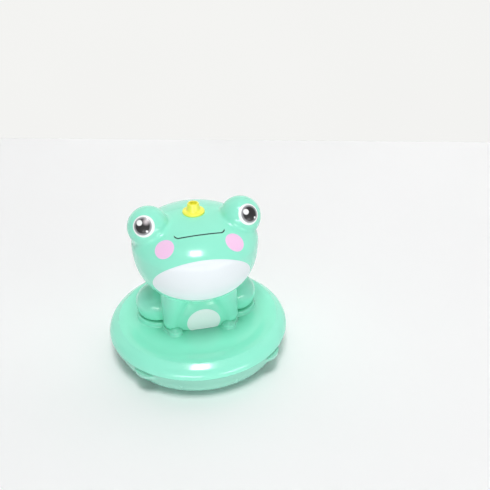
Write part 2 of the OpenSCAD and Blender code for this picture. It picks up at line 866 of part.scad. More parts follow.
module head_shell() {
    difference() {
        union() {
            difference() {
                head_form(0);
                head_form(head_wall);
            }
            collar();
        }
        translate([0, torso_y, head_base_z - over]) cylinder(r = neck_r + collar_gap, h = neck_rise + over);
    }
}

module head_half(front) {
    y0 = front ? head_y - 2 * head_r : head_split_y;
    y1 = front ? head_split_y : head_y + 2 * head_r;
    intersection() {
        head_shell();
        block([-2 * head_r, y0, head_base_z - over], [2 * head_r, y1, head_z + head_h]);
    }
}

module head_front_shell() {
    color(mint)
    difference() {
        union() {
            head_half(true);
            intersection() {
                head_form(head_wall / 2);
                at_nozzle() translate([0, 0, socket_top]) cylinder(r = socket_flange_r, h = -socket_top);
            }
        }
        at_nozzle() {
            translate([0, 0, -nozzle_sink]) cylinder(r = nozzle_flange_r + flange_clear, h = flange_cut_h);
            translate([0, 0, socket_top - over])
            cylinder(r = spigot_r + spigot_clear, h = nozzle_boss_h + 2 * over);
        }
    }
}

module head_rear_shell() {
    color(mint) head_half(false);
}

// Nozzle and hose

module nozzle() {
    color(yellow)
    at_nozzle()
    difference() {
        union() {
            translate([0, 0, -nozzle_sink]) cylinder(r = nozzle_flange_r, h = nozzle_flange_t);
            translate([0, 0, nozzle_flange_t - nozzle_sink - eps])
            cylinder(r1 = nozzle_stem_r, r2 = nozzle_tip_r, h = nozzle_stem_h + eps);
            translate([0, 0, -nozzle_sink - spigot_l]) cylinder(r = spigot_r, h = spigot_l + eps);
        }
        translate([0, 0, -nozzle_sink - spigot_l - over]) cylinder(r = water_r, h = long_cut);
        translate([0, 0, nozzle_flange_t + nozzle_stem_h - nozzle_sink - nozzle_cup])
        cylinder(r = nozzle_tip_r - nozzle_lip, h = nozzle_cup + over);
        ring(ring_c - ring_r, spigot_r + over, ring_w - ring_r, 2 * ring_r);
    }
}

module nozzle_seal() {
    color(rubber)
    at_nozzle()
    translate([0, 0, ring_w])
    rotate_extrude() translate([ring_c, 0]) circle(r = ring_r - eps);
}

// The cup under the head's boss that the nozzle plugs into, with a barb for the hose
module nozzle_socket() {
    color(ivory)
    at_nozzle()
    difference() {
        union() {
            translate([0, 0, socket_top - 1.6]) cylinder(r = socket_flange_r, h = 1.6);
            translate([0, 0, socket_floor - socket_wall])
            cylinder(r = socket_r + socket_wall, h = socket_top - socket_floor + socket_wall);
            translate([0, 0, socket_floor - socket_wall - barb_l]) cylinder(r = barb_r, h = barb_l + eps);
        }
        translate([0, 0, socket_floor]) cylinder(r = socket_r, h = long_cut);
        translate([0, 0, socket_floor - long_cut / 2]) cylinder(r = water_r, h = long_cut);
    }
}

module riser_hose() {
    color(clear_grey) hose(rounded(hose_points, 5), hose_r, hose_bore, [0, 1, 0]);
}

// Pump

module pump_housing() {
    duct_z = cover_z + chamber_h / 2;
    color(ivory)
    at_pump()
    difference() {
        union() {
            translate([0, 0, cover_z]) cylinder(r = pump_r, h = motor_z - cover_z);
            translate([hose_x, 0, cover_z]) cylinder(r = duct_r, h = motor_z - cover_z);
            translate([0, -duct_r, cover_z]) cube([hose_x, 2 * duct_r, motor_z - cover_z]);
            translate([hose_x, 0, motor_z - eps]) cylinder(r = barb_r, h = bracket_t + barb_l + eps);
        }
        translate([0, 0, cover_z - over]) cylinder(r = pump_r - pump_wall, h = chamber_h + over);
        translate([0, 0, roof_z - over]) cylinder(r = shaft_r + 0.3, h = roof_t + 2 * over);
        translate([0, 0, seat_z - shaft_seal_t]) cylinder(r = shaft_seal_r + thread_gap, h = 2 * roof_t);
        translate([0, 0, seat_z]) cylinder(r = nose_r + 0.5, h = 2 * roof_t);
        translate([0, 0, duct_z]) rotate([0, 90, 0]) cylinder(r = water_r, h = hose_x);
        translate([hose_x, 0, duct_z - water_r]) cylinder(r = water_r, h = long_cut);
    }
}

module pump_cover() {
    color(ivory)
    at_pump() ring(eye_hole_r, pump_r, floor_z, cover_t);
}

module intake_strainer() {
    hole_ring = strainer_r - 2.2;
    color(rubber)
    at_pump()
    difference() {
        translate([0, 0, sink]) cylinder(r = strainer_r, h = floor_z - sink);
        cylinder(r = strainer_hole_r, h = floor_z + over);
        for (a = [0 : 45 : 315])
        rotate(a) translate([hole_ring, 0, 0]) cylinder(r = strainer_hole_r, h = floor_z + over);
    }
}

module impeller() {
    hub_r = shaft_r + 1.3;
    color(ivory)
    at_pump()
    difference() {
        union() {
            translate([0, 0, impeller_z]) cylinder(r = hub_r, h = impeller_top - impeller_z);
            translate([0, 0, impeller_top - shroud_t]) cylinder(r = impeller_r, h = shroud_t);
            for (i = [0 : blade_count - 1])
            rotate(i * 360 / blade_count)
            translate([hub_r - 0.4, -blade_t / 2, impeller_z])
            cube([impeller_r - hub_r, blade_t, impeller_top - impeller_z]);
        }
        translate([0, 0, impeller_z - over]) cylinder(r = shaft_r + thread_gap, h = chamber_h + over);
    }
}

module shaft_seal() {
    color(rubber)
    at_pump() ring(shaft_r + shaft_gap, shaft_seal_r, seat_z - shaft_seal_t, shaft_seal_t);
}

// Motor

module motor_can() {
    color(silver)
    at_pump()
    difference() {
        union() {
            translate([0, 0, motor_z]) linear_extrude(can_l) motor_section(0);
            translate([0, 0, motor_z - nose_h]) cylinder(r = nose_r, h = nose_h + eps);
        }
        translate([0, 0, motor_z + can_wall]) linear_extrude(can_l) motor_section(-can_wall);
        translate([0, 0, motor_z - nose_h - over]) cylinder(r = shaft_r + shaft_gap, h = nose_h + 3 * over);
    }
}

module motor_end_cap() {
    color(ivory)
    at_pump()
    difference() {
        translate([0, 0, cap_z]) linear_extrude(cap_l) motor_section(0);
        translate([0, 0, cap_z - over]) cylinder(r = shaft_r + shaft_gap, h = cap_l - 1 + over);
    }
}

module motor_terminals() {
    color(brass)
    at_pump()
    for (s = [-1, 1]) translate([-4.6, s * 3 - 0.75, motor_top]) cube([0.5, 1.5, 2]);
}

module motor_magnets() {
    inner = motor_r - can_wall - magnet_t;
    color(rubber)
    at_pump()
    for (s = [-1, 1])
    intersection() {
        ring(inner, motor_r - can_wall, motor_z + can_wall, can_l - 2);
        block([min(s * 4, s * 20), 0.2 - motor_flat / 2 + can_wall, 0],
              [max(s * 4, s * 20), motor_flat / 2 - can_wall - 0.2, 2 * motor_top]);
    }
}

module motor_armature() {
    color(copper)
    at_pump()
    translate([0, 0, motor_z + can_wall + 1])
    ring(shaft_r + thread_gap, armature_r, 0, can_l - can_wall - 2);
}

module motor_shaft() {
    color(silver)
    at_pump()
    translate([0, 0, impeller_z]) cylinder(r = shaft_r, h = motor_top - 1.2 - impeller_z);
}

module motor_bracket() {
    half = bracket_screw_x + post_r;
    color(ivory)
    at_pump()
    difference() {
        block([-half, -bracket_half, bracket_z], [half, bracket_half, bracket_top]);
        translate([0, 0, bracket_z - over]) linear_extrude(bracket_t + 2 * over) motor_section(thread_gap);
        translate([hose_x, 0, bracket_z - over]) cylinder(r = barb_r + thread_gap, h = bracket_t + 2 * over);
        for (s = [-1, 1])
        translate([s * bracket_screw_x, 0, bracket_z - over])
        cylinder(r = small_screw_r + thread_gap, h = bracket_t + 2 * over);
    }
}

module bracket_screws() {
    color(silver)
    for (s = [-1, 1])
    translate([s * bracket_screw_x, pump_y, bracket_top])
    mirror([0, 0, 1]) screw_up(small_screw_r, small_head_r, small_head_h, bracket_t + bracket_bite);
}

// Battery

// A cell along X with its button end towards the side s
module cell(y, s) {
    body_l = cell_l - cell_tip_h;
    start = -bay_half + contact_t + (s > 0 ? spring_l : 0);
    translate([start, y, cell_z])
    rotate([0, 90, 0]) {
        translate([0, 0, s > 0 ? 0 : cell_tip_h]) cylinder(r = cell_r, h = body_l);
        translate([0, 0, s > 0 ? body_l - eps : 0]) cylinder(r = cell_tip_r, h = cell_tip_h + eps);
    }
}

module front_cell() {
    color(brass) cell(cell_rows[0], 1);
}

module rear_cell() {
    color(brass) cell(cell_rows[1], -1);
}

// A contact plate on the inside of the bay's end wall, at the side s
module contact_plate(s, y0, y1) {
    x0 = s > 0 ? bay_half - contact_t : -bay_half;
    block([x0, y0, ledge_z + 0.4], [x0 + contact_t, y1, bay_top - 0.1]);
}

module terminal(y) {
    contact_plate(-1, y - contact_half, y + contact_half);
    block([-bay_half, y - tab_w / 2, bay_top - 1], [-bay_half + contact_t, y + tab_w / 2, tab_top]);
}

module negative_contact() {
    color(silver) terminal(cell_rows[0]);
}

module positive_contact() {
    color(silver) terminal(cell_rows[1]);
}

module bridge_contact() {
    color(silver) contact_plate(1, cell_rows[0] - contact_half, cell_rows[1] + contact_half);
}

// Points of a coil that narrows from its plate towards the cell
function coil_point(t, turns) =
    let (r = coil_r - coil_taper * t)
    [r * cos(360 * turns * t), r * sin(360 * turns * t), coil_gap + (spring_l - 2 * coil_gap) * t];

module contact_springs() {
    turns = 3;
    steps = 8 * turns;
    coil = [for (i = [0 : steps]) coil_point(i / steps, turns)];
    color(silver) {
        translate([-bay_half + contact_t, cell_rows[0], cell_z])
        rotate([0, 90, 0]) wire(coil, coil_wire_r, [0, 0, 1]);
        translate([bay_half - contact_t, cell_rows[1], cell_z])
        rotate([0, -90, 0]) wire(coil, coil_wire_r, [0, 0, 1]);
    }
}

module battery_door() {
    color(hull_mint)
    difference() {
        translate([0, 0, sink]) door_outline(0, door_t);
        for (s = [-1, 1])
        translate([s * door_screw_x, bay_mid, 0]) {
            cylinder(r = small_screw_r + thread_gap, h = door_top + over);
            cylinder(r = small_head_r + head_gap, h = sink + small_head_h / 2);
        }
    }
}

module door_seal() {
    color(rubber)
    difference() {
        block([-bay_half - door_seal_w, bay_front - door_seal_w, door_top],
              [bay_half + door_seal_w, bay_rear + door_seal_w, ledge_z]);
        block([-bay_half, bay_front, door_top - over], [bay_half, bay_rear, ledge_z + over]);
    }
}

module door_screws() {
    head_z = sink + small_head_h / 2;
    color(silver)
    for (s = [-1, 1])
    translate([s * door_screw_x, bay_mid, head_z])
    screw_up(small_screw_r, small_head_r, small_head_h / 2, frame_t + door_bite - head_z);
}

// Control

module control_board() {
    color(board_green)
    difference() {
        translate([board_x - board_l / 2, board_y - board_w / 2, board_z]) cube([board_l, board_w, board_t]);
        for (p = board_posts)
        translate([p[0], p[1], board_z - over])
        cylinder(r = small_screw_r + thread_gap, h = board_t + 2 * over);
    }
}

module board_screws() {
    color(silver)
    for (p = board_posts)
    translate([p[0], p[1], board_z + board_t])
    mirror([0, 0, 1]) screw_up(small_screw_r, small_head_r, small_head_h, board_t + board_bite);
}

module push_switch() {
    color(rubber)
    difference() {
        translate([board_x - switch_side / 2, board_y - switch_side / 2, switch_z])
        cube([switch_side, switch_side, board_z - switch_z]);
        translate([board_x, board_y, switch_z - over])
        cylinder(r = plunger_r + shaft_gap, h = plunger_top - switch_z + button_travel + over + 0.2);
    }
}

module switch_plunger() {
    color(ivory)
    translate([board_x, board_y, button_top]) cylinder(r = plunger_r, h = plunger_top - button_top);
}

module power_button() {
    color(yellow)
    translate([board_x, board_y, 0]) {
        translate([0, 0, 2 * sink]) cylinder(r = button_r, h = button_top - 2 * sink);
        translate([0, 0, button_flange_z]) cylinder(r = button_flange_r, h = button_flange_t);
    }
}

module button_seal() {
    color(rubber)
    translate([board_x, board_y, 0])
    ring(button_r + button_gap, button_flange_r + button_seal_edge, floor_z, button_seal_t);
}

module sensor_pins() {
    color(silver)
    for (s = [-1, 1])
    translate([s * pin_x, pin_y, sink]) {
        cylinder(r = pin_r + pin_head, h = pin_head);
        cylinder(r = pin_r, h = pin_l);
    }
}

// Leads

module battery_leads() {
    color(signal_red)
    for (i = [0, 1]) {
        tab = [-bay_half + contact_t + lead_r + 0.1, cell_rows[i], tab_top - 1];
        pad = [board_x - 3 + 4 * i, board_y + 4, board_top + 0.1];
        wire([tab, tab + [1, -3, 1], [tab[0] + 3 + 4 * i, 2.6, tab_top], pad + [0, 2, 8.5],
              pad + [0, 0, 0.6], pad], lead_r, [1, 0, 0]);
    }
}

module motor_leads() {
    side = -motor_r - 2 * lead_r - 0.4;
    color(signal_red)
    for (i = [0, 1]) {
        y = pump_y + 3 - 6 * i;
        tab = [-4.6 - lead_r - 0.1, y, motor_top + 1.2];
        pad = [board_x + 4.5 + 2.6 * i, board_y + 1 - 2.5 * i, board_top + 0.1];
        wire([tab, [side + 1, y, motor_top + 1.5], [side, y, motor_top - 1], [side, y, bracket_top + 4],
              pad + [1, 3, 6], pad + [0, 0, 1.5], pad], lead_r, [0, 1, 0]);
    }
}

module sensor_leads() {
    color(signal_red)
    for (s = [-1, 1]) {
        pad = [board_x - 1 - 3 * s, board_y - 4.5, board_top + 0.1];
        tip = [s * pin_x, pin_y, pin_top + 0.1];
        wire([tip, tip + [0, 0.4, 2.5], tip + [-2, 1.5 + s, 5 + s], pad + [3, 0.5, 4 + s],
              pad + [0, 0, 1.5], pad], lead_r, [0, 1, 0]);
    }
}

float_upper_shell();
float_lower_shell();
hull_seal();
hull_screws();
frog_body();
body_screws();
head_front_shell();
head_rear_shell();
nozzle();
nozzle_seal();
nozzle_socket();
riser_hose();
pump_housing();
pump_cover();
intake_strainer();
impeller();
shaft_seal();
motor_can();
motor_end_cap();
motor_terminals();
motor_magnets();
motor_armature();
motor_shaft();
motor_bracket();
bracket_screws();
front_cell();
rear_cell();
negative_contact();
positive_contact();
bridge_contact();
contact_springs();
battery_door();
door_seal();
door_screws();
control_board();
board_screws();
push_switch();
switch_plunger();
power_button();
button_seal();
sensor_pins();
battery_leads();
motor_leads();
sensor_leads();
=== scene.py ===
# Floating frog water sprayer for the bath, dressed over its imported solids.
# Lengths in this script are millimetres unless a name ends in _m; meshes are written in metres.
import json
import math

import bmesh
import bpy
import numpy as np
from mathutils import Matrix, Vector


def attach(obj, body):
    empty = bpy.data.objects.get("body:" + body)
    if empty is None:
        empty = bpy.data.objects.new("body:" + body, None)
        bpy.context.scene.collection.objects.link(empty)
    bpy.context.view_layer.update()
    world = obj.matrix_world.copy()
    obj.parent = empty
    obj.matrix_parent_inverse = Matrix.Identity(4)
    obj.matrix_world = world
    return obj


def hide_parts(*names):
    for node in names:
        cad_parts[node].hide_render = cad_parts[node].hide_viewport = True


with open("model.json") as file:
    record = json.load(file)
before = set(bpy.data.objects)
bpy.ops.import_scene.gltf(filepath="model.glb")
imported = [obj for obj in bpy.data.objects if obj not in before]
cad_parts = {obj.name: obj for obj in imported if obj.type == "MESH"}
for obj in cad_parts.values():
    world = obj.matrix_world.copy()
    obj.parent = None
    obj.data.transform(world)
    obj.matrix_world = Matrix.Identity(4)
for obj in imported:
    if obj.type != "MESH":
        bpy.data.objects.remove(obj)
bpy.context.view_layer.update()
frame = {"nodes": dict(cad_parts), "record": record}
MM = 0.001

# Float
FLOAT_R = 54.3
RIM_R = 7.35
RIM_C = FLOAT_R - RIM_R
SEAM_Z = 16.0
PLATFORM_Z = 22.6
PAD_Z = 25.6
PAD_FLARE = 0.12
HEEL = (19.0, -9.5, 0)
HEEL_R = 4.0
INSTEP = (16.0, -15.6, 0)
INSTEP_R = 4.1
FOOT_SINK = 0.6
TOE = (15.9, -15.6, 22.6)
TOE_R = 4.0

# Body
TORSO_Y = -3.0
TORSO_CORE_R = 8.0
SHOULDER_Z = 33.0
SHOULDER_R = 12.0
NECK_R = 14.0
NECK_TOP = 50.0
BELLY_Y = -16.0
BELLY_SWELL = 1.4
BELLY_Z = 31.0
BELLY_CURVE_X = 0.008
BELLY_CURVE_Z = 0.02
THIGH = (23.0, 5.0, 33.0)
THIGH_R = 13.7
THIGH_SQUASH = (0, 0.08, 0.22)
THIGH_BOTTOM = 26.0
LEG_FOOT = (17.4, -11.6, 29.0)
LEG_FOOT_R = 5.2
LEG_TOP = (13.6, -8.8, 46.5)
LEG_TOP_R = 9.4

# Head: a height and a power give the curve of its lower and of its upper half
HEAD = np.array((0.0, -3.8, 78.6))
HEAD_R = 36.1
JOWL = (33.0, 2.44)
CROWN = (17.6, 1.9)
FACE = np.array((0.0, -3.8, 71.8))
EYE = np.array((25.9, -6.75, 91.5))
EYE_R = 11.75
SPLIT_Y = 3.2
GROOVE_HALF = 0.07
GROOVE_DEPTH = 0.5
NOZZLE_AT = np.array((0.0, -3.8, 96.19))

# Widths of the blends between forms
EYE_BLEND = 2.6
NECK_BLEND = 2.0
BELLY_EDGE = 2.4
LEG_BLEND = 1.2
THIGH_EDGE = 1.6
THIGH_BLEND = 1.0
DECK_BLEND = 4.0
PAD_BLEND = 0.7
FOOT_EDGE = 0.9
TOE_BLEND = 0.8
SEAM_EDGE = 1.0

# Meshing: edge of a cell, and how points are drawn to a form and evened out
HEAD_CELL = 1.0
FINE_CELL = 0.8
GRADIENT_STEP = 0.02
LEAST_SLOPE = 0.05
LONGEST_MOVE = 1.5
RELAX_ROUNDS = 8
RELAX = 0.6
ON_FORM = 0.02
SAME_WAY = 0.5


# Signed distance forms, negative inside

def smin(a, b, k):
    h = np.maximum(k - np.abs(a - b), 0) / k
    return np.minimum(a, b) - h * h * k * 0.25


def smax(a, b, k):
    return -smin(-a, -b, k)


def ball(p, c, r):
    return np.linalg.norm(p - np.asarray(c), axis=1) - r


def round_cone(p, a, b, ra, rb):
    a = np.asarray(a)
    d = np.asarray(b) - a
    t = np.clip((p - a) @ d / (d @ d), 0, 1)
    return np.linalg.norm(p - a - t[:, None] * d, axis=1) - (ra + (rb - ra) * t)


def mirrored(p):
    q = p.copy()
    q[:, 0] = np.abs(q[:, 0])
    return q


def half_oval(rho, h, curve):
    """How far out a point lies, with 1 on the surface."""
    height, power = curve
    return (rho ** power + (h / height) ** power) ** (1 / power)


def head_form(p):
    q = mirrored(p)
    d = q - HEAD
    rho = np.hypot(d[:, 0], d[:, 1]) / HEAD_R
    h = np.abs(d[:, 2])
    g = np.where(d[:, 2] < 0, half_oval(rho, h, JOWL), half_oval(rho, h, CROWN))
    oval = np.linalg.norm(d, axis=1) * (1 - 1 / np.maximum(g, 1e-3))
    return smin(oval, ball(q, EYE, EYE_R), EYE_BLEND)


def body_form(p):
    q = mirrored(p)
    x, y, z = q[:, 0], q[:, 1], q[:, 2]
    rho = np.hypot(x, y - TORSO_Y)
    shoulder = np.hypot(np.maximum(rho - TORSO_CORE_R, 0), np.maximum(z - SHOULDER_Z, 0)) - SHOULDER_R
    neck = np.maximum(rho - NECK_R, z - NECK_TOP)
    torso = smin(shoulder, neck, NECK_BLEND)
    belly = BELLY_Y - BELLY_SWELL + BELLY_CURVE_Z * (z - BELLY_Z) ** 2 + BELLY_CURVE_X * x ** 2
    torso = smax(torso, belly - y, BELLY_EDGE)
    leg = round_cone(q, LEG_FOOT, LEG_TOP, LEG_FOOT_R, LEG_TOP_R)
    torso = np.maximum(smin(torso, leg, LEG_BLEND), PLATFORM_Z - z)
    squashed = q + np.maximum(q - THIGH, 0) * THIGH_SQUASH
    thigh = smax(ball(squashed, THIGH, THIGH_R), THIGH_BOTTOM - z, THIGH_EDGE)
    return smin(torso, thigh, THIGH_BLEND)


def float_form(p):
    q = mirrored(p)
    x, y, z = q[:, 0], q[:, 1], q[:, 2]
    rho = np.hypot(x, y)
    rim = np.hypot(rho - RIM_C, z - SEAM_Z) - RIM_R
    deck = np.maximum(z - PLATFORM_Z, rho - RIM_C)
    top = smin(rim, deck, DECK_BLEND)
    pad = np.hypot(x - THIGH[0], y - THIGH[1]) - THIGH_R + PAD_FLARE * (z - PLATFORM_Z)
    pad = smax(pad, z - PAD_Z, PAD_BLEND)
    foot = round_cone(q * (1, 1, 0), HEEL, INSTEP, HEEL_R, INSTEP_R)
    foot = smax(foot, z - PAD_Z + FOOT_SINK, FOOT_EDGE)
    foot = smin(foot, ball(q, TOE, TOE_R), TOE_BLEND)
    top = smin(smin(top, pad, PAD_BLEND), foot, PAD_BLEND)
    return smax(top, SEAM_Z - z, SEAM_EDGE)


# Meshes from forms

def gradient(form, p):
    g = np.empty_like(p)
    for i in range(3):
        step = np.zeros(3)
        step[i] = GRADIENT_STEP
        g[:, i] = (form(p + step) - form(p - step)) / (2 * GRADIENT_STEP)
    return g


def to_surface(form, p, rounds):
    for _ in range(rounds):
        g = gradient(form, p)
        f = form(p)
        move = f / np.maximum((g * g).sum(1), LEAST_SLOPE)
        p = p - np.clip(move, -LONGEST_MOVE, LONGEST_MOVE)[:, None] * g
    return p


def skin(form, lo, hi, cell):
    """Vertices and quads of the form's surface: one vertex in each cell that the surface crosses."""
    axes = [np.arange(lo[i], hi[i] + cell, cell) for i in range(3)]
    n = [len(a) for a in axes]
    grid = np.stack(np.meshgrid(*axes, indexing="ij"), axis=-1).reshape(-1, 3)
    inside = (form(grid) < 0).reshape(n)
    count = np.zeros([k - 1 for k in n], int)
    for i in (0, 1):
        for j in (0, 1):
            for k in (0, 1):
                count += inside[i:n[0] - 1 + i, j:n[1] - 1 + j, k:n[2] - 1 + k]
    live = (count > 0) & (count < 8)
    index = np.full(live.shape, -1)
    index[live] = np.arange(live.sum())
    cells = np.argwhere(live)
    verts = np.array(lo) + (cells + 0.5) * cell
    quads = []
    for axis in range(3):
        u, v = (axis + 1) % 3, (axis + 2) % 3
        a = np.moveaxis(inside, (axis, u, v), (0, 1, 2))
        ids = np.moveaxis(index, (axis, u, v), (0, 1, 2))
        flip = a[:-1, 1:-1, 1:-1] != a[1:, 1:-1, 1:-1]
        e = np.argwhere(flip)
        i, j, k = e[:, 0], e[:, 1] + 1, e[:, 2] + 1
        corners = (ids[i, j - 1, k - 1], ids[i, j, k - 1], ids[i, j, k], ids[i, j - 1, k])
        ring = np.stack(corners, axis=1)
        inward = a[i, j, k]
        ring[~inward] = ring[~inward][:, ::-1]
        quads.append(ring)
    quads = np.concatenate(quads)
    verts = to_surface(form, verts, 4)
    pairs = np.concatenate([quads[:, [i, (i + 1) % 4]] for i in range(4)])
    for _ in range(RELAX_ROUNDS):
        total = np.zeros_like(verts)
        share = np.zeros(len(verts))
        for a, b in ((0, 1), (1, 0)):
            np.add.at(total, pairs[:, a], verts[pairs[:, b]])
            np.add.at(share, pairs[:, a], 1)
        verts = (1 - RELAX) * verts + RELAX * total / share[:, None]
        verts = to_surface(form, verts, 2)
    return verts, quads


def mesh_object(name, verts, faces):
    mesh = bpy.data.meshes.new(name)
    points = [tuple(v) for v in np.asarray(verts) * MM]
    mesh.from_pydata(points, [], [tuple(int(i) for i in f) for f in faces])
    mesh.validate()
    obj = bpy.data.objects.new(name, mesh)
    bpy.context.collection.objects.link(obj)
    return obj


def shade_by_form(obj, form):
    """Smooth normals: the form's own where a face lies on it, and the face's elsewhere."""
    mesh = obj.data
    mesh.polygons.foreach_set("use_smooth", [True] * len(mesh.polygons))
    n = len(mesh.vertices)
    co = np.empty(n * 3)
    mesh.vertices.foreach_get("co", co)
    p = co.reshape(-1, 3) / MM
    g = gradient(form, p)
    g /= np.maximum(np.linalg.norm(g, axis=1), 1e-9)[:, None]
    on = np.abs(form(p)) < ON_FORM
    normals = []
    for poly in mesh.polygons:
        face = np.array(poly.normal)
        for v in poly.vertices:
            normals.append(g[v] if on[v] and g[v] @ face > SAME_WAY else face)
    mesh.normals_split_custom_set([tuple(v) for v in normals])


def lathe(profile, segments=96):
    """Vertices and faces of a profile of (radius, height) turned about Z."""
    verts = []
    faces = []
    for r, z in profile:
        for k in range(segments):
            a = 2 * math.pi * k / segments
            verts.append((r * math.cos(a), r * math.sin(a), z))
    for i in range(len(profile) - 1):
        for k in range(segments):
            k1 = (k + 1) % segments
            a, b = i * segments, (i + 1) * segments
            faces.append((a + k, a + k1, b + k1, b + k))
    return np.array(verts), faces


def arc(cx, cz, r, a0, a1, steps):
    turns = [math.radians(a0 + (a1 - a0) * i / steps) for i in range(steps + 1)]
    return [(cx + r * math.cos(t), cz + r * math.sin(t)) for t in turns]


def smooth(obj, angle=35):
    obj.data.polygons.foreach_set("use_smooth", [True] * len(obj.data.polygons))
    bpy.context.view_layer.objects.active = obj
    obj.select_set(True)
    bpy.ops.object.shade_smooth_by_angle(angle=math.radians(angle))
    obj.select_set(False)


# Materials

# Most of a noise texture's values lie between these two
NOISE_LOW = 0.3
NOISE_HIGH = 0.7


class Net:
    """A short way to write a material's nodes."""

    def __init__(self, name):
        self.mat = bpy.data.materials.new(name)
        self.mat.use_nodes = True
        self.tree = self.mat.node_tree
        self.shader = self.tree.nodes["Principled BSDF"]

    def new(self, kind, **values):
        node = self.tree.nodes.new(kind)
        for key, value in values.items():
            setattr(node, key, value)
        return node

    def put(self, socket, value):
        if isinstance(value, bpy.types.NodeSocket):
            self.tree.links.new(value, socket)
        elif value is not None:
            socket.default_value = value

    def fill(self, node, *values):
        for socket, value in zip(node.inputs, values):
            self.put(socket, value)
        return node

    def math(self, op, a, b=None, c=None):
        return self.fill(self.new("ShaderNodeMath", operation=op), a, b, c).outputs[0]

    def square(self, a):
        return self.math("MULTIPLY", a, a)

    def hypot(self, a, b):
        return self.math("SQRT", self.math("ADD", self.square(a), self.square(b)))

    def vec(self, op, a, b=None):
        node = self.fill(self.new("ShaderNodeVectorMath", operation=op), a, b)
        return node.outputs["Value"] if op in ("DOT_PRODUCT", "DISTANCE") else node.outputs[0]

    def axes(self, p):
        return self.fill(self.new("ShaderNodeSeparateXYZ"), p).outputs

    def mix(self, factor, a, b):
        # Sockets 6, 7 and 2 are the node's colours
        node = self.new("ShaderNodeMix", data_type="RGBA")
        self.put(node.inputs[0], factor)
        self.put(node.inputs[6], a)
        self.put(node.inputs[7], b)
        return node.outputs[2]

    def below(self, value, edge, soft):
        """1 where value is under edge, with a soft border."""
        node = self.new("ShaderNodeMapRange", interpolation_type="SMOOTHSTEP")
        return self.fill(node, value, edge + soft, edge - soft).outputs[0]

    def noise(self, coords, scale, detail):
        node = self.new("ShaderNodeTexNoise")
        self.put(node.inputs["Vector"], coords)
        node.inputs["Scale"].default_value = scale
        node.inputs["Detail"].default_value = detail
        return node.outputs[0]

    def span(self, value, low, high):
        """A noise value spread from low to high."""
        return self.fill(self.new("ShaderNodeMapRange"), value, NOISE_LOW, NOISE_HIGH, low, high).outputs[0]

    def place_mm(self):
        coords = self.new("ShaderNodeTexCoord").outputs["Object"]
        return self.vec("MULTIPLY", coords, (1 / MM,) * 3)

    def set(self, name, value):
        self.put(self.shader.inputs[name], value)


def srgb(r, g, b):
    def lin(v):
        v /= 255
        return v / 12.92 if v <= 0.04045 else ((v + 0.055) / 1.055) ** 2.4
    return (lin(r), lin(g), lin(b), 1.0)


MINT = srgb(150, 243, 215)
HULL = srgb(156, 224, 203)
YELLOW = srgb(255, 250, 90)
WHITE = srgb(240, 247, 251)
# Painted light: the belly's print is the chin's white made paler to make up for the shade on the belly
BELLY_WHITE_WITH_PAINTED_LIGHT = srgb(250, 254, 255)
PINK = srgb(252, 206, 242)
INK = srgb(22, 66, 54)
EYE_WHITE = srgb(250, 252, 252)

# Plastic: scales of its noise, and the roughness of print on it
DRIFT_SCALE = 0.045
GLOSS_SCALE = 0.12
SHELL_ROUGHNESS = (0.16, 0.24)
PRINT_ROUGHNESS = 0.45

# Chin, in degrees about the face's middle: half width, level of its ends, and reach and power of its edges
CHIN_TURN = 52.6
CHIN_STOP = 52.5
CHIN_LEVEL = -11.5
CHIN_OVER = (32.5, 0.65)
CHIN_UNDER = (15.4, 0.345)

CHEEKS = ((-19.82, -26.34, 87.87), (18.56, -27.63, 87.73))
CHEEK_R = 5.6

# Mouth: middle, height along the brow's slope, half lengths, lean, curl of its ends and half thickness
MOUTH_X = 0.3
MOUTH_UP = 48.4
MOUTH_STRAIGHT = 11.6
MOUTH_END = 13.95
MOUTH_LEAN = 0.02
MOUTH_CURL = 0.33
MOUTH_HALF = 0.38
MOUTH_FRONT = -12.0

# Eye print: the way it faces, its disc, and spots by place across and up, radius, soft border and colour
EYE_FACING = np.array((0.285, -0.810, 0.513))
EYE_FRONT = 5.0
EYE_PRINT_R = 6.0
EYE_PRINT_SOFT = 0.12
IRIS_OUT = 0.38
IRIS_SPOTS = ((0.0, 0.05, 4.95, 0.15, srgb(158, 158, 162)), (0.0, 0.05, 4.1, 0.55, srgb(22, 20, 22)))
# Painted reflection: a soft pale patch on the left eye only, where a light would reflect, and how strongly
# it is laid on
PAINTED_REFLECTION = (1.8, 2.6, 1.4, 1.3, srgb(236, 226, 230))
PAINTED_REFLECTION_STRENGTH = 0.75
GLINTS = ((-1.9, 1.75, 1.6, 0.25, srgb(252, 253, 253)), (2.55, -2.66, 0.62, 0.25, srgb(250, 250, 251)))

# Belly spot: middle and half sizes across and up
SPOT_AT = (1.0, 28.3)
SPOT_HALF = (10.0, 9.2)
SPOT_FRONT = -14.0


def moulded(net, p, colour, rough=SHELL_ROUGHNESS, shift=0.02, bump=0.02, grain=0.5):
    """Moulded plastic: slight drift of colour, uneven gloss and a faint waviness."""
    drift = net.noise(p, DRIFT_SCALE, 3.0)
    dark = tuple(c * (1 - shift) for c in colour[:3]) + (1.0,)
    light = tuple(min(c * (1 + shift), 1.0) for c in colour[:3]) + (1.0,)
    base = net.mix(net.span(drift, 0.0, 1.0), dark, light)
    net.set("Roughness", net.span(net.noise(p, GLOSS_SCALE, 3.0), *rough))
    node = net.new("ShaderNodeBump")
    node.inputs["Strength"].default_value = bump
    node.inputs["Distance"].default_value = MM
    net.put(node.inputs["Height"], net.noise(p, grain, 2.0))
    net.set("Normal", node.outputs[0])
    return base


def gloss(net):
    net.set("IOR", 1.5)
    net.set("Coat Weight", 0.25)
    net.set("Coat Roughness", 0.08)


